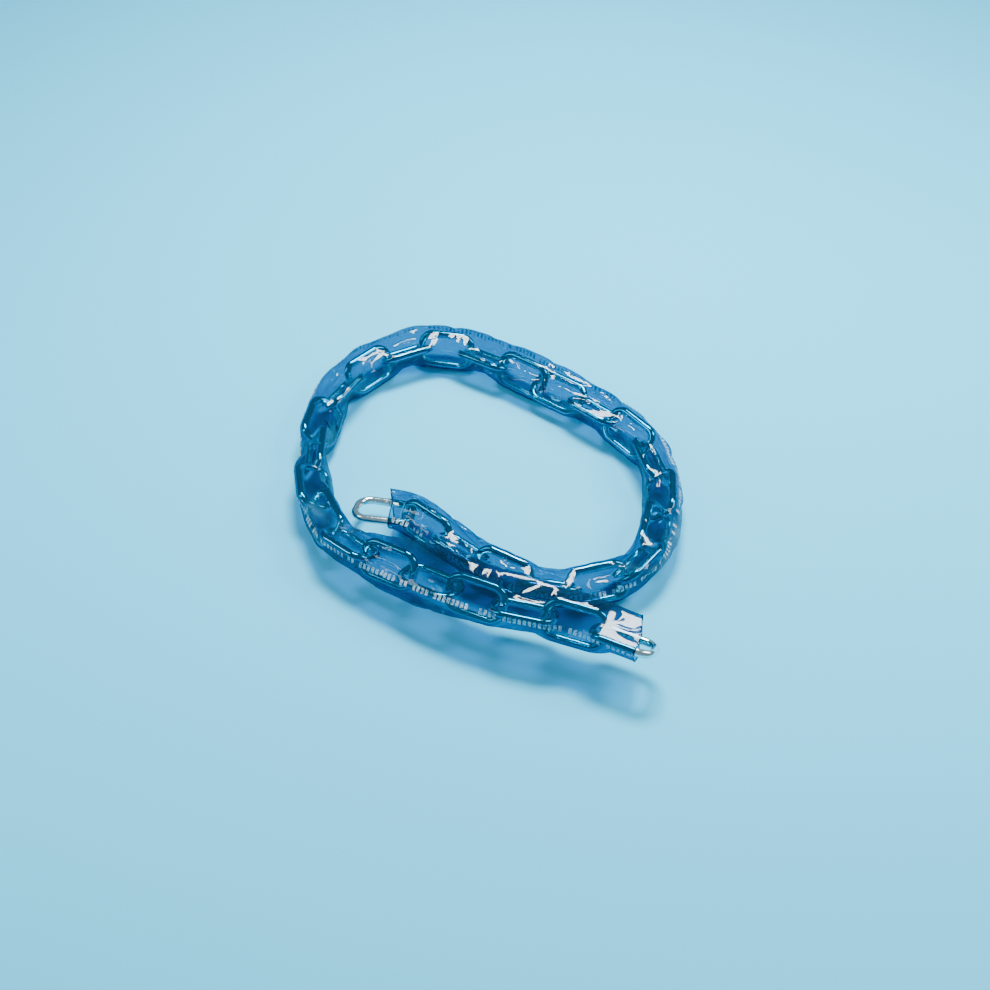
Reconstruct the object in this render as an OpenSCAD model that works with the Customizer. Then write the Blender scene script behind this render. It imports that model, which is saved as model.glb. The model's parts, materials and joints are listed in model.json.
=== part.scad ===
// Security chain in a clear blue sleeve, laid in a loose coil. Millimetres, +Z up.

/* [Chain] */
// thickness of the round steel the links are bent from
wire = 8; // [6.5:0.1:8.4]
// outside length of one link
link_length = 66; // [65:1:82]
// outside width of one link
link_width = 42; // [40:0.5:43.5]
// radius of the link corners, measured on the middle of the wire
corner_radius = 13; // [11.5:0.5:13.4]
// free play between two links pulled tight
play = 1.4; // [1.3:0.1:2.4]
// width of the weld bead on one leg of each link
bead_width = 3; // [2:0.5:6]
// how far the weld bead stands out of the wire
bead_height = 0.4; // [0.2:0.1:0.6]

/* [Sleeve] */
// thickness of the clear plastic wall
sleeve_wall = 1; // [0.8:0.1:1.3]
// how much wider than high the sleeve lies
slack = 8; // [6.8:0.2:10]
// slit between two neighbouring sleeve pieces
seam_gap = 0.3; // [0.2:0.1:0.6]
// length of sleeve left on the first link
cover_a = 16; // [10:1:18]
// length of the last link's pitch left bare at its free end
bare_b = 4; // [2:1:8]

/* [Hidden] */
$fn = 48;
step = link_length - 2 * wire - play;       // distance between two joints
sleeve_height = link_width + 2 * sleeve_wall;
sleeve_width = sleeve_height + slack;
leg = link_length - wire - 2 * corner_radius;   // straight part of the long side
bar = link_width - wire - 2 * corner_radius;    // straight part of the short end

// the way each link points, counter-clockwise from +X, from end A to end B
heading = [-10, -40, -40, -30, -10, 15, 50, 75, 85, 105,
           130, 140, 145, 145, 150, 170, 205, 225, 240, 260,
           270, 280, 295, 320, 330, 330, 335, 345, 340, 335];
// how far each link is turned about its own length
roll = [-15, 65, -35, 55, -45, 55, -45, 50, -45, 45,
        -45, 30, -20, -60, 30, -55, 35, -55, 45, -35,
        60, -35, 45, -35, 55, -20, 55, -30, 50, -35];
// how far each link has climbed onto the run beside it, 0 to 1
climb = [0, 0, 0, 0, 0, 0, 0, 0, 0, 0, 0, 0, 0, 0, 0, 0, 0, 0, 0, 0,
         0, 0.06, 0.25, 0.44, 0.56, 0.75, 0.94, 1, 1, 1];
count = len(heading);

// the near run leans on the far run: its rise follows from the size of the sleeve
run_gap = 1.5;                              // air between the two runs
run_spacing = step;                         // the two runs lie one link pitch apart
rise = sqrt(max(0, pow(sleeve_height + run_gap, 2) - pow(run_spacing - slack, 2)));

// heights of the link centres and of the joints between them
centre_z = [for (c = climb) sleeve_height / 2 + c * rise];
joint_z = [for (j = [0:count]) j == 0 ? centre_z[0] : j == count ? centre_z[count - 1]
           : (centre_z[j - 1] + centre_z[j]) / 2];
drop = [for (i = [0:count - 1]) joint_z[i + 1] - joint_z[i]];
run = [for (i = [0:count - 1]) sqrt(step * step - drop[i] * drop[i])];
tilt = [for (i = [0:count - 1]) asin(drop[i] / step)];

// running sum of the steps gives every joint, end A at j = 0 and end B at j = count
function sum_to(list, n, i = 0, s = 0) = i >= n ? s : sum_to(list, n, i + 1, s + list[i]);
step_x = [for (i = [0:count - 1]) run[i] * cos(heading[i])];
step_y = [for (i = [0:count - 1]) run[i] * sin(heading[i])];
lay_x = [for (j = [0:count]) sum_to(step_x, j)];
lay_y = [for (j = [0:count]) sum_to(step_y, j)];

// direction of the cut across the sleeve at each joint
cut_angle = [for (j = [0:count]) j == 0 ? heading[0] : j == count ? heading[count - 1]
             : (heading[j - 1] + heading[j]) / 2];
// half the bend at each joint lengthens the mitred edge of the sleeve
cut_half = [for (j = [0:count]) j == 0 || j == count ? sleeve_width / 2
            : sleeve_width / 2 / cos((heading[j] - heading[j - 1]) / 2)];

// outer corners of the sleeve at every joint, and the bare tip of link A
reach_x = [for (j = [1:count - 1]) for (s = [-1, 1]) lay_x[j] - s * cut_half[j] * sin(cut_angle[j])];
reach_y = [for (j = [1:count - 1]) for (s = [-1, 1]) lay_y[j] + s * cut_half[j] * cos(cut_angle[j])];
tip_x = lay_x[count] + (link_length - step) / 2 * cos(heading[count - 1]);
tip_y = lay_y[count] + (link_length - step) / 2 * sin(heading[count - 1]);
end_x = [for (s = [-1, 1]) lay_x[count] - bare_b * cos(heading[count - 1])
         - s * sleeve_width / 2 * sin(heading[count - 1])];
end_y = [for (s = [-1, 1]) lay_y[count] - bare_b * sin(heading[count - 1])
         + s * sleeve_width / 2 * cos(heading[count - 1])];
low = [min(min(reach_x), min(end_x)), min(min(reach_y), min(end_y))];
high = [max(max(reach_x), max(end_x)), max(max(reach_y), max(end_y))];

// the origin sits under the middle of the coil, on the table
joint = [for (j = [0:count]) [lay_x[j] - (low[0] + high[0]) / 2,
                              lay_y[j] - (low[1] + high[1]) / 2, joint_z[j]]];
centre = [for (i = [0:count - 1]) (joint[i] + joint[i + 1]) / 2];

function two(n) = n < 10 ? str("0", n) : str(n);
function link_name(i) = i == 0 ? "end_link_a" : i == count - 1 ? "end_link_b"
                        : str("link_", two(i + 1));
function sleeve_name(i) = str("sleeve_", two(i + 1));

// one quarter bend of wire, from +X to +Y about the origin
module quarter_bend() {
    rotate_extrude(angle = 90, $fn = 64) translate([corner_radius, 0]) circle(d = wire, $fn = 32);
}

// one closed link, flat in XY, its length along X
module link_shape() {
    x = link_length / 2 - wire / 2 - corner_radius;
    y = link_width / 2 - wire / 2 - corner_radius;
    union() {
        for (s = [-1, 1]) {
            translate([-leg / 2, s * (link_width - wire) / 2, 0]) rotate([0, 90, 0])
                cylinder(d = wire, h = leg);
            translate([s * (link_length - wire) / 2, bar / 2, 0]) rotate([90, 0, 0])
                cylinder(d = wire, h = bar);
        }
        translate([x, y, 0]) quarter_bend();
        translate([-x, y, 0]) rotate([0, 0, 90]) quarter_bend();
        translate([-x, -y, 0]) rotate([0, 0, 180]) quarter_bend();
        translate([x, -y, 0]) rotate([0, 0, 270]) quarter_bend();
        // weld bead round the middle of one leg
        translate([0, (link_width - wire) / 2, 0]) rotate([0, 90, 0]) {
            translate([0, 0, -bead_width / 2])
                cylinder(d = wire + 2 * bead_height, h = bead_width);
            for (s = [0, 1]) mirror([0, 0, s]) translate([0, 0, bead_width / 2])
                cylinder(d1 = wire + 2 * bead_height, d2 = wire, h = bead_height * 2);
        }
    }
}

module chain_link(i) {
    color([0.78, 0.79, 0.81])
        translate(centre[i]) rotate([roll[i], -tilt[i], heading[i]]) link_shape();
}

// solid with a round-sided flat section, its length along X
module flat_bar(w, h, l) {
    translate([-l / 2, 0, 0]) union() {
        for (s = [-1, 1]) translate([0, s * (w - h) / 2, 0]) rotate([0, 90, 0])
            cylinder(d = h, h = l, $fn = 64);
        translate([0, -(w - h) / 2, -h / 2]) cube([l, w - h, h]);
    }
}

// upright block between the two cuts of sleeve piece i
module between_cuts(i) {
    a0 = cut_angle[i];
    a1 = cut_angle[i + 1];
    back = i == 0 ? step - cover_a : seam_gap / 2;
    front = i == count - 1 ? -bare_b : -seam_gap / 2;
    p0 = [joint[i][0] + back * cos(a0), joint[i][1] + back * sin(a0)];
    p1 = [joint[i + 1][0] + front * cos(a1), joint[i + 1][1] + front * sin(a1)];
    side = 0.75 * sleeve_width;
    translate([0, 0, -sleeve_height]) linear_extrude(height = 3 * sleeve_height + rise)
        polygon([p0 - side * [-sin(a0), cos(a0)], p1 - side * [-sin(a1), cos(a1)],
                 p1 + side * [-sin(a1), cos(a1)], p0 + side * [-sin(a0), cos(a0)]]);
}

// one mitred piece of the clear sleeve, hollow and open at both ends
module sleeve_piece(i) {
    reach = step + sleeve_width;
    color([0.1, 0.45, 0.85, 0.5]) intersection() {
        translate(centre[i]) rotate([0, -tilt[i], heading[i]]) difference() {
            flat_bar(sleeve_width, sleeve_height, reach);
            flat_bar(sleeve_width - 2 * sleeve_wall, sleeve_height - 2 * sleeve_wall, reach + 2);
        }
        between_cuts(i);
    }
}

for (i = [0:count - 1]) chain_link(i);
for (i = [0:count - 1]) sleeve_piece(i);
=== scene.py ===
# Looks of a steel security chain in a clear blue vinyl sleeve, lying in a loose coil.
import json
import math

import bpy
import numpy as np
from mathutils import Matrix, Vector


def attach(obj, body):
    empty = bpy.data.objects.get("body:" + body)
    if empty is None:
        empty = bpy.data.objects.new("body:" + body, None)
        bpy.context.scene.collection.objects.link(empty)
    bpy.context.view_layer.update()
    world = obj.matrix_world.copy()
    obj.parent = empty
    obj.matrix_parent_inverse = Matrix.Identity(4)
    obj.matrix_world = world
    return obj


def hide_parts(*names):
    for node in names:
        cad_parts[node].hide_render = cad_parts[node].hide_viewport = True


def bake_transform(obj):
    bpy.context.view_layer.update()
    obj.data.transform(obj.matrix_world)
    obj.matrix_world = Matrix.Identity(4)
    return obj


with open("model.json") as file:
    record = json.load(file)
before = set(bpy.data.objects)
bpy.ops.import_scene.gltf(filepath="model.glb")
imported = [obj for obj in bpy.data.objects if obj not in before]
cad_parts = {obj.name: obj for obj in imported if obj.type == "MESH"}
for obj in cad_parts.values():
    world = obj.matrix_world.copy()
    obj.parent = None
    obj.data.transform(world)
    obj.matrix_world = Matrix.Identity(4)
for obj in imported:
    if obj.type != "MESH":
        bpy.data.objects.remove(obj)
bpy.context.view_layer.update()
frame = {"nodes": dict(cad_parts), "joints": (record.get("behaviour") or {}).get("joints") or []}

# ---------------------------------------------------------------------------------------
# The route of the chain. Thirty closed links are threaded into each other, and each pair
# swings about the spot where their bars meet. The sleeve follows the same line, so the
# hinge points and the middles of the links are read from the frame.
LINKS = 30
LINK_NODES = ["end_link_a"] + [f"link_{n:02d}" for n in range(2, LINKS)] + ["end_link_b"]
COVER_A = 0.016        # length of sleeve left on the first link
BARE_B = 0.009         # length of the last link's pitch left bare


def mesh_points(name, spacing=0.0025):
    """The vertices of a CAD piece, and points along its longer edges."""
    mesh = frame["nodes"][name].data
    co = np.zeros(len(mesh.vertices) * 3)
    mesh.vertices.foreach_get("co", co)
    co = co.reshape(-1, 3)
    ends = np.zeros(len(mesh.edges) * 2, int)
    mesh.edges.foreach_get("vertices", ends)
    a, b = co[ends[0::2]], co[ends[1::2]]
    steps = np.ceil(np.linalg.norm(b - a, axis=1) / spacing).astype(int)
    found = [co]
    for count in np.unique(steps[steps > 1]):
        picked = steps == count
        for share in np.arange(1, count) / count:
            found.append(a[picked] * (1 - share) + b[picked] * share)
    return np.vstack(found)


link_points = [mesh_points(name) for name in LINK_NODES]
middles = np.array([(p.min(0) + p.max(0)) / 2 for p in link_points])
hinge_at = {j["name"]: np.array(j["pos_m"], float) for j in frame["joints"]}
hinges = [hinge_at[f"bend_{n:02d}"] for n in range(1, LINKS)]
start_point = 2 * middles[0] - hinges[0]
end_point = 2 * middles[-1] - hinges[-1]
route = np.array([start_point] + hinges + [end_point])
BODIES = [name + "_body" for name in LINK_NODES]


# ---------------------------------------------------------------------------------------
# Polished links. Round hardened steel bar is bent to a flat-sided oval, butt welded on one
# leg and bright plated, so it mirrors the lamps with faint drawing lines and dull spots
# where it has rubbed. The wear group below is shared by the links and the two bare ends.
def new_material(name):
    mat = bpy.data.materials.new(name)
    mat.use_nodes = True
    mat.node_tree.nodes.clear()
    return mat, mat.node_tree.nodes, mat.node_tree.links


def wear_group():
    group = bpy.data.node_groups.new("plating_wear", "ShaderNodeTree")
    face = group.interface
    face.new_socket("Vector", in_out="INPUT", socket_type="NodeSocketVector")
    for label, value in (("Scale", 60.0), ("Bright", 0.08), ("Dull", 0.3)):
        sock = face.new_socket(label, in_out="INPUT", socket_type="NodeSocketFloat")
        sock.default_value = value
    for label in ("Roughness", "Height", "Mask"):
        face.new_socket(label, in_out="OUTPUT", socket_type="NodeSocketFloat")
    n, l = group.nodes, group.links
    enter, leave = n.new("NodeGroupInput"), n.new("NodeGroupOutput")
    blotch = n.new("ShaderNodeTexNoise")
    blotch.inputs["Detail"].default_value = 6.0
    l.new(enter.outputs["Vector"], blotch.inputs["Vector"])
    l.new(enter.outputs["Scale"], blotch.inputs["Scale"])
    finer = n.new("ShaderNodeMath")
    finer.operation = "MULTIPLY"
    finer.inputs[1].default_value = 22.0
    l.new(enter.outputs["Scale"], finer.inputs[0])
    fine = n.new("ShaderNodeTexNoise")
    fine.inputs["Detail"].default_value = 4.0
    l.new(enter.outputs["Vector"], fine.inputs["Vector"])
    l.new(finer.outputs[0], fine.inputs["Scale"])
    mask = n.new("ShaderNodeMapRange")
    mask.inputs["From Min"].default_value = 0.45
    mask.inputs["From Max"].default_value = 0.75
    l.new(blotch.outputs["Fac"], mask.inputs["Value"])
    rough = n.new("ShaderNodeMapRange")
    l.new(mask.outputs["Result"], rough.inputs["Value"])
    l.new(enter.outputs["Bright"], rough.inputs["To Min"])
    l.new(enter.outputs["Dull"], rough.inputs["To Max"])
    total = n.new("ShaderNodeMath")
    total.operation = "ADD"
    l.new(blotch.outputs["Fac"], total.inputs[0])
    l.new(fine.outputs["Fac"], total.inputs[1])
    l.new(rough.outputs["Result"], leave.inputs["Roughness"])
    l.new(total.outputs[0], leave.inputs["Height"])
    l.new(mask.outputs["Result"], leave.inputs["Mask"])
    return group


WEAR = wear_group()


def plated_steel(name, bright, worn, shine, dull):
    mat, n, l = new_material(name)
    out = n.new("ShaderNodeOutputMaterial")
    steel = n.new("ShaderNodeBsdfPrincipled")
    steel.inputs["Metallic"].default_value = 1.0
    coords = n.new("ShaderNodeTexCoord")
    wear = n.new("ShaderNodeGroup")
    wear.node_tree = WEAR
    wear.inputs["Scale"].default_value = 60.0
    wear.inputs["Bright"].default_value = shine
    wear.inputs["Dull"].default_value = dull
    l.new(coords.outputs["Object"], wear.inputs["Vector"])
    tone = n.new("ShaderNodeMix")
    tone.data_type = "RGBA"
    tone.inputs[6].default_value = (*bright, 1)
    tone.inputs[7].default_value = (*worn, 1)
    l.new(wear.outputs["Mask"], tone.inputs[0])
    l.new(tone.outputs[2], steel.inputs["Base Color"])
    l.new(wear.outputs["Roughness"], steel.inputs["Roughness"])
    bump = n.new("ShaderNodeBump")
    bump.inputs["Strength"].default_value = 0.12
    bump.inputs["Distance"].default_value = 0.0003
    l.new(wear.outputs["Height"], bump.inputs["Height"])
    l.new(bump.outputs["Normal"], steel.inputs["Normal"])
    l.new(steel.outputs[0], out.inputs["Surface"])
    return mat


link_steel = plated_steel("plated_link_steel", (0.86, 0.88, 0.90), (0.60, 0.62, 0.65), 0.06, 0.20)
end_steel = plated_steel("bare_end_link_steel", (0.88, 0.88, 0.87), (0.66, 0.65, 0.63), 0.07, 0.24)
for name in LINK_NODES:
    node = frame["nodes"][name]
    node.data.materials.clear()
    node.data.materials.append(end_steel if name.startswith("end") else link_steel)
    for face in node.data.polygons:
        face.use_smooth = True


# ---------------------------------------------------------------------------------------
# The sleeve. One soft clear blue vinyl tube is pulled over the whole chain and cut square
# at both ends. It hangs tent-like over the links, is drawn tight where they stand on edge,
# and its spare width lies to one side as a fin. It follows the turns at every hinge.
RING_SPACING = 0.0022      # along the tube
AROUND = 96                # points round each ring
HEADING_REACH = 0.06       # links looked ahead and behind for a ring's direction
FILM_GAP = 0.0010          # air between the film and the highest steel
PRESSED_IN = 0.6           # share of that air a crease can press out
LEAST_REACH = 0.004        # the film never closes in further than this
DRAPE_RADIUS = 0.022       # how softly the film falls away from a high spot
DRAPE_LENGTH = 0.030       # steel farther along than this doesn't lift a ring
LEAST_FACING = 0.15        # directions more than about 81 degrees apart don't meet
HALF_WIDE, HALF_TALL = 0.026, 0.022    # half size of the CAD sleeve
FILM_OUTSIDE = 0.0005      # the film may stand this far past it anywhere
BELLY_OUTSIDE = 0.004      # and this much more on the belly
TABLE_AIR = 0.0004         # between the film and the table

# per link, end A to end B: half width and half height of the slack tube, in mm
TUBE_WIDE = [19, 20, 20, 20, 20, 19, 18, 18, 18, 18, 19, 19, 19, 19, 19, 19, 18, 17, 15, 13,
             11, 13, 16, 20, 23, 23, 22, 20, 17, 15]
TUBE_TALL = [16, 16, 16, 16, 16, 16, 16, 16, 16, 16, 16, 16, 16, 16, 16, 16, 16, 16, 17, 17,
             17, 17, 16, 16, 15, 15, 15, 15, 15, 14]
# the way the fin of spare film points (0 outwards, 90 up, 180 inwards) and its reach, in mm
FIN_TURN = [140, 150, 158, 158, 158, 150, 20, 0, 0, 10, 25, 35, 40, 40, 35, 35, 35, 30, 25, 15,
            10, 10, 60, 120, 145, 149, 150, 150, 150, 150]
FIN_REACH = [25, 23, 22, 20, 20, 19, 22, 23, 22, 22, 23, 26, 29, 30, 28, 27, 28, 28, 25, 20,
             16, 17, 17, 19, 30, 37, 38, 35, 31, 27]
# how far the fin may stand out past the CAD sleeve, in mm
SPARE_ROOM = [3, 3, 2, 2, 2, 2, 3, 3, 3, 3, 4, 5, 5, 5, 5, 5, 5, 5, 4, 3,
              2, 2, 4, 9, 13, 14, 14, 12, 9, 7]
FIN_BODY = 4.0             # half thickness of the fin, in mm
# the share of its reach that varies, and the length over which it does
FIN_WAVER, FIN_WAVER_LENGTH = 0.16, 0.021
# a second belly of loose film low on the outside, where the tube lifts onto the run beside it
BELLY_TURN = -12           # degrees up from the outside
BELLY_REACH = [0] * 22 + [0, 14, 27, 29, 24, 20, 10, 0]
# how milky the film has gone where it is folded over and rubbed
MILK = [0, 0, 0, 0, .1, .2, .5, .6, .4, .2, .1, 0, .1, .1, 0, .1, .2, .1, 0, .3,
        .3, .4, .4, .2, .1, 0, 0, .1, .1, 0]


def along_links(values, t):
    """A per-link list read at route parameter t, where link n has its middle at n - 0.5."""
    places = np.arange(LINKS) + 0.5
    return np.interp(t, places, np.asarray(values, float))


def curve_through(points, t):
    """A smooth curve through the hinge points, at parameters t from 0 to LINKS."""
    padded = np.vstack([2 * points[0] - points[1], points, 2 * points[-1] - points[-2]])
    k = np.clip(np.floor(t).astype(int), 0, len(points) - 2)
    f = (t - k)[:, None]
    p0, p1, p2, p3 = (padded[k + i] for i in range(4))
    return 0.5 * (2 * p1 + (p2 - p0) * f + (2 * p0 - 5 * p1 + 4 * p2 - p3) * f ** 2
                  + (3 * p1 - p0 - 3 * p2 + p3) * f ** 3)


ROUTE_SAMPLES = 12001
pitch = float(np.linalg.norm(hinges[1] - hinges[0]))
first_t, last_t = 1 - COVER_A / pitch, LINKS - BARE_B / pitch
fine_t = np.linspace(first_t, last_t, ROUTE_SAMPLES)
fine_points = curve_through(route, fine_t)
run = np.concatenate([[0], np.cumsum(np.linalg.norm(np.diff(fine_points, axis=0), axis=1))])
ring_count = int(run[-1] / RING_SPACING)
ring_t = np.interp(np.linspace(0, run[-1], ring_count), run, fine_t)
# rings fall exactly on the middle of each link, where the film is parted into pieces
for n in range(1, LINKS - 1):
    ring_t[np.abs(ring_t - (n + 0.5)).argmin()] = n + 0.5
centres = curve_through(route, ring_t)
ahead = curve_through(route, np.minimum(ring_t + HEADING_REACH, LINKS))
behind = curve_through(route, np.maximum(ring_t - HEADING_REACH, 0))
forward = ahead - behind
forward /= np.linalg.norm(forward, axis=1)[:, None]
outward = np.stack([forward[:, 1], -forward[:, 0], np.zeros(ring_count)], 1)
outward /= np.linalg.norm(outward, axis=1)[:, None]
upward = np.cross(outward, forward)
upward *= np.sign(upward[:, 2])[:, None]
angles = np.arange(AROUND) * 2 * math.pi / AROUND


def smooth_noise(u, v, period, seed):
    """Value noise on a (length, around) sheet that closes on itself after period cells."""
    rows = int(np.ceil(u.max())) + 3
    table = np.random.default_rng(seed).random((rows, period))
    iu, iv = np.floor(u).astype(int), np.floor(v).astype(int)
    fu, fv = u - iu, v - iv
    fu, fv = fu * fu * (3 - 2 * fu), fv * fv * (3 - 2 * fv)
    a = table[iu, iv % period] * (1 - fv) + table[iu, (iv + 1) % period] * fv
    b = table[iu + 1, iv % period] * (1 - fv) + table[iu + 1, (iv + 1) % period] * fv
    return a * (1 - fu) + b * fu


def outline_from_support(reach):
    """Outline radii of the tightest band that keeps every half plane of the support values."""
    spread = np.cos(angles[:, None] - angles[None, :])
    spread = np.where(spread > LEAST_FACING, spread, np.nan)
    out = np.empty_like(reach)
    for i in range(len(reach)):
        out[i] = np.nanmin(reach[i][None, :] / spread, axis=1)
    return out


steel_reach = np.full((ring_count, AROUND), LEAST_REACH)
circle = np.stack([np.cos(angles), np.sin(angles)])
for i in range(ring_count):
    near = int(np.clip(ring_t[i], 0, LINKS - 1e-6))
    for k in range(max(0, near - 1), min(LINKS, near + 2)):
        off = link_points[k] - centres[i]
        away = off @ forward[i]
        keep = np.abs(away) < DRAPE_LENGTH
        if keep.any():
            flat = np.stack([off[keep] @ outward[i], off[keep] @ upward[i]], 1)
            fall = (away[keep] ** 2 / (2 * DRAPE_RADIUS))[:, None]
            steel_reach[i] = np.maximum(steel_reach[i], (flat @ circle - fall).max(0))
steel_reach += FILM_GAP

wide = along_links(TUBE_WIDE, ring_t)[:, None] / 1000
tall = along_links(TUBE_TALL, ring_t)[:, None] / 1000
tube_reach = np.sqrt((wide * np.cos(angles)) ** 2 + (tall * np.sin(angles)) ** 2)
turn = np.radians(along_links(FIN_TURN, ring_t))[:, None]
fin = along_links(FIN_REACH, ring_t)[:, None] / 1000
distance = np.linspace(0, run[-1], ring_count)[:, None] + 0 * angles
lap = angles[None, :] / (2 * math.pi) + 0 * distance
waver = smooth_noise(distance / FIN_WAVER_LENGTH, lap * 0 + 0.5, 4, 3) - 0.5
fin_length = fin * (1 + FIN_WAVER * waver) - FIN_BODY / 1000
fin_reach = fin_length * np.cos(angles - turn) + FIN_BODY / 1000
toward_belly = np.cos(angles - math.radians(BELLY_TURN))
belly = along_links(BELLY_REACH, ring_t)[:, None] / 1000 * toward_belly
reach = np.maximum(np.maximum(steel_reach, tube_reach), np.maximum(fin_reach, belly))
room = HALF_TALL + (HALF_WIDE - HALF_TALL) * np.abs(np.cos(angles))
on_fin = np.clip(np.cos(angles - turn), 0, 1) ** 4
on_belly = np.clip(toward_belly, 0, 1) ** 4
spare = along_links(SPARE_ROOM, ring_t)[:, None] / 1000
reach = np.minimum(reach, room + FILM_OUTSIDE + spare * on_fin + BELLY_OUTSIDE * on_belly)
radius = outline_from_support(reach)
steel_radius = outline_from_support(np.minimum(steel_reach, reach)) - FILM_GAP * PRESSED_IN

# how crumpled each link's length of film is
CRUMPLE = [1.0] * 24 + [0.8, 0.6, 0.5, 0.35, 0.25, 0.2]
# creases: long facets broken by slanting folds, deeper where the film is slack
FOLD_LENGTH, FOLD_DEPTH, FOLDS_AROUND = 0.030, 0.0024, 9
WRINKLE_LENGTH, WRINKLE_DEPTH, WRINKLES_AROUND = 0.011, 0.0004, 17
SLACK_FOR_FULL_CREASE, LEAST_CREASE = 0.006, 0.15
slant = distance / FOLD_LENGTH + 1.2 * np.sin(angles)[None, :]
fold = np.abs(smooth_noise(slant + 2, lap * FOLDS_AROUND, FOLDS_AROUND, 11) - 0.5) * 2
small = np.abs(smooth_noise(distance / WRINKLE_LENGTH + 2.0 * lap + 2,
                            lap * WRINKLES_AROUND, WRINKLES_AROUND, 12) - 0.5) * 2
loose = np.clip((radius - steel_radius) / SLACK_FOR_FULL_CREASE, LEAST_CREASE, 1)
crease = FOLD_DEPTH * (1 - fold) ** 4 + WRINKLE_DEPTH * (1 - small) ** 3
radius = radius - along_links(CRUMPLE, ring_t)[:, None] * loose * crease
radius = np.maximum(radius, steel_radius)
spoke = (np.cos(angles)[None, :, None] * outward[:, None, :]
         + np.sin(angles)[None, :, None] * upward[:, None, :])
shell = centres[:, None, :] + radius[..., None] * spoke
# both cuts lean back on the inner side, fading out within a few centimetres
CUT_LEAN = 0.34            # how far back, as a share of the distance inwards
LEAN_LINKS_A, LEAN_LINKS_B = 0.5, 0.6  # length of tube it fades over, in links
at_cut = np.maximum(np.clip(1 - (ring_t - first_t) / LEAN_LINKS_A, 0, 1),
                    np.clip(1 - (last_t - ring_t) / LEAN_LINKS_B, 0, 1))
inner_side = np.maximum(-radius * np.cos(angles)[None, :], 0)
shell -= (CUT_LEAN * at_cut[:, None] * inner_side)[..., None] * forward[:, None, :]
shell[..., 2] = np.maximum(shell[..., 2], TABLE_AIR)
SLACK_FOR_FULL_MILK = 0.005
MILK_LENGTH, MILK_AROUND = 0.006, 23   # grain of the milky patches, along and around
milk_grain = 0.6 + 0.6 * smooth_noise(distance / MILK_LENGTH, lap * MILK_AROUND, MILK_AROUND, 5)
milk = (along_links(MILK, ring_t)[:, None] * on_fin
        * np.clip((radius - steel_radius) / SLACK_FOR_FULL_MILK, 0, 1) * milk_grain)


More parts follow.
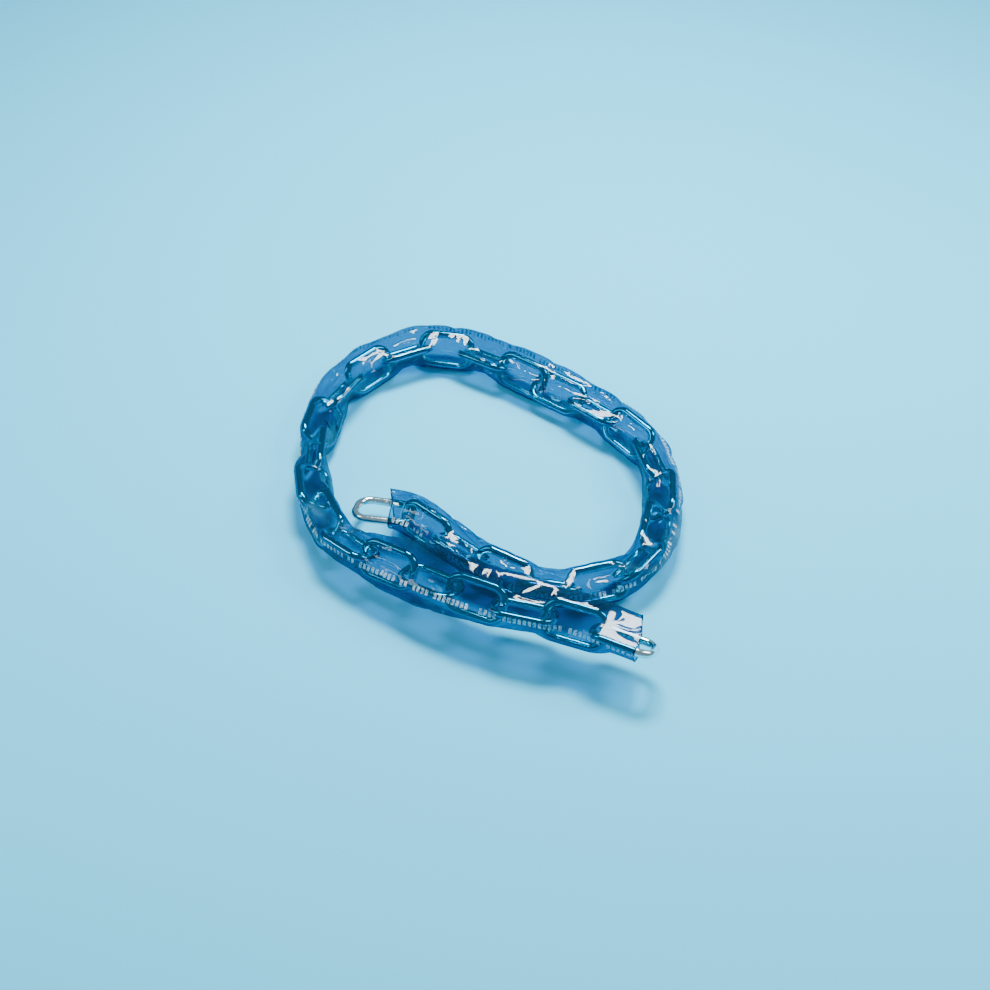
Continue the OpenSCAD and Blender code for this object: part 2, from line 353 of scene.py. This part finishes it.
def vinyl(name):
    mat, n, l = new_material(name)
    out = n.new("ShaderNodeOutputMaterial")
    coords = n.new("ShaderNodeTexCoord")
    edge = n.new("ShaderNodeLayerWeight")
    edge.inputs["Blend"].default_value = 0.5
    steep = n.new("ShaderNodeMath")
    steep.operation = "POWER"
    steep.inputs[1].default_value = 1.7
    l.new(edge.outputs["Facing"], steep.inputs[0])
    cloud = n.new("ShaderNodeTexNoise")
    cloud.inputs["Scale"].default_value = 28.0
    cloud.inputs["Detail"].default_value = 3.0
    l.new(coords.outputs["Object"], cloud.inputs["Vector"])
    tint = n.new("ShaderNodeMix")
    tint.data_type = "RGBA"
    tint.inputs[6].default_value = (0.006, 0.46, 0.60, 1)
    tint.inputs[7].default_value = (0.004, 0.40, 0.55, 1)
    l.new(cloud.outputs["Fac"], tint.inputs[0])
    deep = n.new("ShaderNodeMix")
    deep.data_type = "RGBA"
    deep.inputs[7].default_value = (0.001, 0.15, 0.34, 1)
    l.new(steep.outputs[0], deep.inputs[0])
    l.new(tint.outputs[2], deep.inputs[6])
    through = n.new("ShaderNodeBsdfTransparent")
    l.new(deep.outputs[2], through.inputs["Color"])
    skin = n.new("ShaderNodeBsdfPrincipled")
    skin.inputs["Specular IOR Level"].default_value = 0.0
    skin.inputs["Roughness"].default_value = 0.6
    coat = n.new("ShaderNodeBsdfPrincipled")
    coat.inputs["Metallic"].default_value = 1.0
    coat.inputs["Base Color"].default_value = (0.86, 0.95, 1.0, 1)
    haze = n.new("ShaderNodeTexNoise")
    haze.inputs["Scale"].default_value = 140.0
    haze.inputs["Detail"].default_value = 5.0
    l.new(coords.outputs["Object"], haze.inputs["Vector"])
    rough = n.new("ShaderNodeMapRange")
    rough.inputs["To Min"].default_value = 0.02
    rough.inputs["To Max"].default_value = 0.08
    l.new(haze.outputs["Fac"], rough.inputs["Value"])
    l.new(rough.outputs["Result"], coat.inputs["Roughness"])
    milk_at = n.new("ShaderNodeAttribute")
    milk_at.attribute_name = "milk"
    pale = n.new("ShaderNodeMix")
    pale.data_type = "RGBA"
    pale.inputs[6].default_value = (0.002, 0.26, 0.52, 1)
    pale.inputs[7].default_value = (0.20, 0.66, 0.85, 1)
    l.new(milk_at.outputs["Fac"], pale.inputs[0])
    l.new(pale.outputs[2], skin.inputs["Base Color"])
    bump = n.new("ShaderNodeBump")
    bump.inputs["Strength"].default_value = 0.06
    bump.inputs["Distance"].default_value = 0.0005
    ripple = n.new("ShaderNodeTexNoise")
    ripple.inputs["Scale"].default_value = 85.0
    ripple.inputs["Detail"].default_value = 2.0
    l.new(coords.outputs["Object"], ripple.inputs["Vector"])
    l.new(ripple.outputs["Fac"], bump.inputs["Height"])
    l.new(bump.outputs["Normal"], coat.inputs["Normal"])
    gloss = n.new("ShaderNodeFresnel")
    gloss.inputs["IOR"].default_value = 1.5
    l.new(bump.outputs["Normal"], gloss.inputs["Normal"])
    body = n.new("ShaderNodeMath")
    body.operation = "MULTIPLY_ADD"
    body.inputs[1].default_value = 0.38
    body.inputs[2].default_value = 0.03
    l.new(milk_at.outputs["Fac"], body.inputs[0])
    wall = n.new("ShaderNodeMixShader")
    l.new(body.outputs[0], wall.inputs["Fac"])
    l.new(through.outputs[0], wall.inputs[1])
    l.new(skin.outputs[0], wall.inputs[2])
    softer = n.new("ShaderNodeMath")
    softer.operation = "MULTIPLY"
    softer.inputs[1].default_value = 0.50
    l.new(gloss.outputs["Fac"], softer.inputs[0])
    capped = n.new("ShaderNodeMath")
    capped.operation = "MINIMUM"
    capped.inputs[1].default_value = 0.11
    l.new(softer.outputs[0], capped.inputs[0])
    glossy = n.new("ShaderNodeMixShader")
    l.new(capped.outputs[0], glossy.inputs["Fac"])
    l.new(wall.outputs[0], glossy.inputs[1])
    l.new(coat.outputs[0], glossy.inputs[2])
    l.new(glossy.outputs[0], out.inputs["Surface"])
    return mat


film = vinyl("clear_blue_vinyl")


def film_piece(name, first, last):
    rows = np.arange(first, last + 1)
    verts = shell[rows].reshape(-1, 3)
    index = np.arange(len(rows) * AROUND).reshape(len(rows), AROUND)
    after = np.roll(index, -1, axis=1)
    quads = np.stack([index[:-1], after[:-1], after[1:], index[1:]], -1).reshape(-1, 4)
    mesh = bpy.data.meshes.new(name)
    mesh.from_pydata(verts.tolist(), [], quads.tolist())
    mesh.materials.append(film)
    mark = mesh.attributes.new("milk", "FLOAT", "POINT")
    mark.data.foreach_set("value", milk[rows].reshape(-1).astype(np.float32))
    for face in mesh.polygons:
        face.use_smooth = True
    piece = bpy.data.objects.new(name, mesh)
    bpy.context.scene.collection.objects.link(piece)
    return piece


# the normals of the whole tube, so that no seam shows where two pieces of film meet
across = np.roll(shell, -1, axis=1) - np.roll(shell, 1, axis=1)
lengthways = np.gradient(shell, axis=0)
shell_normals = np.cross(across, lengthways)
shell_normals /= np.linalg.norm(shell_normals, axis=2)[..., None] + 1e-12
facing_out = (shell_normals * (shell - centres[:, None, :])).sum(2).mean() > 0
if not facing_out:
    shell_normals = -shell_normals
link_middles = [int(np.abs(ring_t - (n + 0.5)).argmin()) for n in range(1, LINKS - 1)]
parting = [0] + link_middles + [ring_count - 1]
for n in range(1, LINKS):
    piece = film_piece(f"vinyl_{n:02d}", parting[n - 1], parting[n])
    rows = np.arange(parting[n - 1], parting[n] + 1)
    mesh = piece.data
    if (np.array(mesh.polygons[0].normal) @ shell_normals[rows[0], 0]) < 0:
        mesh.flip_normals()
    mesh.normals_split_custom_set_from_vertices(shell_normals[rows].reshape(-1, 3).tolist())
    way = route[n + 1] - route[n - 1]
    way /= np.linalg.norm(way)
    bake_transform(piece)
    stood_for = [f"sleeve_{n:02d}"] + ([f"sleeve_{LINKS:02d}"] if n == LINKS - 1 else [])
    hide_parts(*stood_for)


# ---------------------------------------------------------------------------------------
# The two cut edges. The tube is cut across with a knife at each end of the chain, and the
# thickness of its wall shows there as a narrow rounded edge, fast to the end link's body.
WALL = 0.0007              # radius of the rounded edge
EDGE_SIDES = 8


def cut_edge(name, row, body):
    ring, side = shell[row], shell_normals[row]
    bow = np.arange(EDGE_SIDES) * 2 * math.pi / EDGE_SIDES
    verts = (ring[:, None, :] + WALL * (np.cos(bow)[None, :, None] * side[:, None, :]
             + np.sin(bow)[None, :, None] * forward[row][None, None, :]))
    index = np.arange(AROUND * EDGE_SIDES).reshape(AROUND, EDGE_SIDES)
    on, up = np.roll(index, -1, axis=0), np.roll(index, -1, axis=1)
    quads = np.stack([index, on, np.roll(on, -1, axis=1), up], -1).reshape(-1, 4)
    mesh = bpy.data.meshes.new(name)
    mesh.from_pydata(verts.reshape(-1, 3).tolist(), [], quads.tolist())
    grown = mesh.vertices[mesh.polygons[0].vertices[0]].co - Vector(ring[0])
    if mesh.polygons[0].normal.dot(grown) < 0:
        mesh.flip_normals()
    mesh.materials.append(film)
    for face in mesh.polygons:
        face.use_smooth = True
    piece = bpy.data.objects.new(name, mesh)
    bpy.context.scene.collection.objects.link(piece)
    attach(piece, body)


cut_edge("cut_edge_a", 0, BODIES[0])
cut_edge("cut_edge_b", ring_count - 1, BODIES[-1])


# ---------------------------------------------------------------------------------------
# The printed line. White ink runs along the outside of the tube as small upright marks,
# rubbed away here and there. Plain bars stand for the marks, set out at an even pitch along
# a line on the film, with some left out.
PRINT_ANGLE = 28           # degrees up from the outside
INK_LIFT = 0.0003          # clear of the film
MARK_PITCH, MARK_WIDE, MARK_TALL = 0.0046, 0.0030, 0.0056
MARKS_KEPT = 0.82          # the rest are rubbed away


def ink():
    mat, n, l = new_material("white_print")
    out = n.new("ShaderNodeOutputMaterial")
    coat = n.new("ShaderNodeBsdfPrincipled")
    coat.inputs["Roughness"].default_value = 0.45
    coat.inputs["Base Color"].default_value = (0.55, 0.78, 0.90, 1)
    coords = n.new("ShaderNodeTexCoord")
    rub = n.new("ShaderNodeTexNoise")
    rub.inputs["Scale"].default_value = 420.0
    rub.inputs["Detail"].default_value = 4.0
    l.new(coords.outputs["Object"], rub.inputs["Vector"])
    kept = n.new("ShaderNodeMapRange")
    kept.inputs["From Min"].default_value = 0.40
    kept.inputs["From Max"].default_value = 0.60
    kept.inputs["To Min"].default_value = 0.15
    kept.inputs["To Max"].default_value = 0.80
    l.new(rub.outputs["Fac"], kept.inputs["Value"])
    gone = n.new("ShaderNodeBsdfTransparent")
    mixed = n.new("ShaderNodeMixShader")
    l.new(kept.outputs["Result"], mixed.inputs["Fac"])
    l.new(gone.outputs[0], mixed.inputs[1])
    l.new(coat.outputs[0], mixed.inputs[2])
    l.new(mixed.outputs[0], out.inputs["Surface"])
    return mat


def marks_tree():
    tree = bpy.data.node_groups.new("printed_marks", "GeometryNodeTree")
    face = tree.interface
    face.new_socket("Line", in_out="INPUT", socket_type="NodeSocketGeometry")
    for label in ("Pitch", "Width", "Height", "Kept"):
        face.new_socket(label, in_out="INPUT", socket_type="NodeSocketFloat")
    face.new_socket("Seed", in_out="INPUT", socket_type="NodeSocketInt")
    face.new_socket("Ink", in_out="INPUT", socket_type="NodeSocketMaterial")
    face.new_socket("Marks", in_out="OUTPUT", socket_type="NodeSocketGeometry")
    n, l = tree.nodes, tree.links
    enter, leave = n.new("NodeGroupInput"), n.new("NodeGroupOutput")
    line = n.new("GeometryNodeMeshToCurve")
    even = n.new("GeometryNodeResampleCurve")
    even.mode = "LENGTH"
    mark = n.new("GeometryNodeMeshGrid")
    mark.inputs["Vertices X"].default_value = 3
    mark.inputs["Vertices Y"].default_value = 3
    tangent = n.new("GeometryNodeInputTangent")
    facing = n.new("GeometryNodeInputNamedAttribute")
    facing.data_type = "FLOAT_VECTOR"
    facing.inputs["Name"].default_value = "facing"
    lie = n.new("FunctionNodeAlignRotationToVector")
    lie.axis = "X"
    stand = n.new("FunctionNodeAlignRotationToVector")
    stand.axis = "Z"
    stand.pivot_axis = "X"
    keep = n.new("FunctionNodeRandomValue")
    keep.data_type = "BOOLEAN"
    place = n.new("GeometryNodeInstanceOnPoints")
    real = n.new("GeometryNodeRealizeInstances")
    paint = n.new("GeometryNodeSetMaterial")
    l.new(enter.outputs["Line"], line.inputs["Mesh"])
    l.new(line.outputs["Curve"], even.inputs["Curve"])
    l.new(enter.outputs["Pitch"], even.inputs["Length"])
    l.new(enter.outputs["Width"], mark.inputs["Size X"])
    l.new(enter.outputs["Height"], mark.inputs["Size Y"])
    l.new(tangent.outputs[0], lie.inputs["Vector"])
    l.new(lie.outputs["Rotation"], stand.inputs["Rotation"])
    l.new([o for o in facing.outputs if o.enabled][0], stand.inputs["Vector"])
    l.new(enter.outputs["Kept"], keep.inputs["Probability"])
    l.new(enter.outputs["Seed"], keep.inputs["Seed"])
    l.new([o for o in keep.outputs if o.type == "BOOLEAN"][0], place.inputs["Selection"])
    l.new(even.outputs["Curve"], place.inputs["Points"])
    l.new(mark.outputs["Mesh"], place.inputs["Instance"])
    l.new(stand.outputs["Rotation"], place.inputs["Rotation"])
    l.new(place.outputs["Instances"], real.inputs["Geometry"])
    l.new(real.outputs["Geometry"], paint.inputs["Geometry"])
    l.new(enter.outputs["Ink"], paint.inputs["Material"])
    l.new(paint.outputs["Geometry"], leave.inputs["Marks"])
    return tree


white_ink, MARKS = ink(), marks_tree()
mark_socket = {item.name: item.identifier for item in MARKS.interface.items_tree
               if item.in_out == "INPUT"}
column = int(round(PRINT_ANGLE / 360 * AROUND))
print_line = shell[:, column] + shell_normals[:, column] * INK_LIFT
for n in range(1, LINKS):
    first, last = parting[n - 1], parting[n]
    rows = np.arange(first, last + 1)
    guide = bpy.data.meshes.new("print_guide")
    guide.from_pydata(print_line[rows].tolist(), [(i, i + 1) for i in range(len(rows) - 1)], [])
    tag = guide.attributes.new("facing", "FLOAT_VECTOR", "POINT")
    tag.data.foreach_set("vector", shell_normals[rows, column].reshape(-1).astype(np.float32))
    holder = bpy.data.objects.new("print_guide", guide)
    bpy.context.scene.collection.objects.link(holder)
    layout = holder.modifiers.new("marks", "NODES")
    layout.node_group = MARKS
    for label, value in (("Pitch", MARK_PITCH), ("Width", MARK_WIDE), ("Height", MARK_TALL),
                         ("Kept", MARKS_KEPT), ("Seed", n), ("Ink", white_ink)):
        layout[mark_socket[label]] = value
    bpy.context.view_layer.update()
    solved = holder.evaluated_get(bpy.context.evaluated_depsgraph_get())
    marks = bpy.data.meshes.new_from_object(solved)
    bpy.data.objects.remove(holder)
    bpy.data.meshes.remove(guide)
    marks.name = f"print_{n:02d}"
    piece = bpy.data.objects.new(f"print_{n:02d}", marks)
    bpy.context.scene.collection.objects.link(piece)
    way = route[n + 1] - route[n - 1]
    way /= np.linalg.norm(way)
    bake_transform(piece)


# ---------------------------------------------------------------------------------------
# The table and the lamps: a plain pale blue sheet under a large soft lamp overhead and a
# weaker one at the side.
def matt_paint(name, colour):
    mat, n, l = new_material(name)
    out = n.new("ShaderNodeOutputMaterial")
    paint = n.new("ShaderNodeBsdfPrincipled")
    paint.inputs["Base Color"].default_value = (*colour, 1)
    paint.inputs["Roughness"].default_value = 0.75
    l.new(paint.outputs[0], out.inputs["Surface"])
    return mat


TABLE_SIZE = 6.0
bpy.ops.mesh.primitive_plane_add(size=TABLE_SIZE, location=(0, 0, 0))
table = bpy.context.object
table.name = "table_top"
table.data.materials.append(matt_paint("pale_blue_table", (0.035, 0.66, 1.0)))

def soft_lamp(name, place, size, power, aim=(0.0, 0.0, 0.0), colour=(1, 1, 1)):
    light = bpy.data.lights.new(name, "AREA")
    light.shape = "RECTANGLE"
    light.size, light.size_y = size
    light.energy = power
    light.color = colour
    lamp = bpy.data.objects.new(name, light)
    lamp.location = place
    lamp.rotation_euler = (Vector(aim) - Vector(place)).to_track_quat("-Z", "Y").to_euler()
    bpy.context.scene.collection.objects.link(lamp)


soft_lamp("overhead_softbox", (0.1, 0.75, 1.5), (0.62, 0.32), 56)
soft_lamp("right_softbox", (1.1, 0.2, 1.0), (0.35, 0.7), 15)
soft_lamp("left_strip", (-1.1, -0.1, 0.9), (0.2, 0.9), 6)
world = bpy.data.worlds.new("studio")
world.use_nodes = True
world.node_tree.nodes["Background"].inputs["Color"].default_value = (0.42, 0.80, 1.0, 1)
world.node_tree.nodes["Background"].inputs["Strength"].default_value = 0.42
bpy.context.scene.world = world
# a ray can meet many layers of film where two runs lie together, and each one takes a bounce
FILM_LAYERS = 32
bpy.context.scene.cycles.transparent_max_bounces = FILM_LAYERS


# ---------------------------------------------------------------------------------------
# The camera, fitted to the photo: it looks down at the coil from the side of its two ends.
AIM = np.array([0.0095, 0.0075, 0.0])
CAMERA_RISE = math.radians(48)
CAMERA_DISTANCE = 1.365
FOCAL_IN_WIDTHS = 1300 / 990
SENSOR = 36.0
camera_data = bpy.data.cameras.new("camera")
camera_data.sensor_width = SENSOR
camera_data.lens = SENSOR * FOCAL_IN_WIDTHS
camera = bpy.data.objects.new("camera", camera_data)
line_of_sight = np.array([0, -math.cos(CAMERA_RISE), math.sin(CAMERA_RISE)])
camera.location = AIM + CAMERA_DISTANCE * line_of_sight
camera.rotation_euler = (math.pi / 2 - CAMERA_RISE, 0, 0)
bpy.context.scene.collection.objects.link(camera)
bpy.context.scene.camera = camera
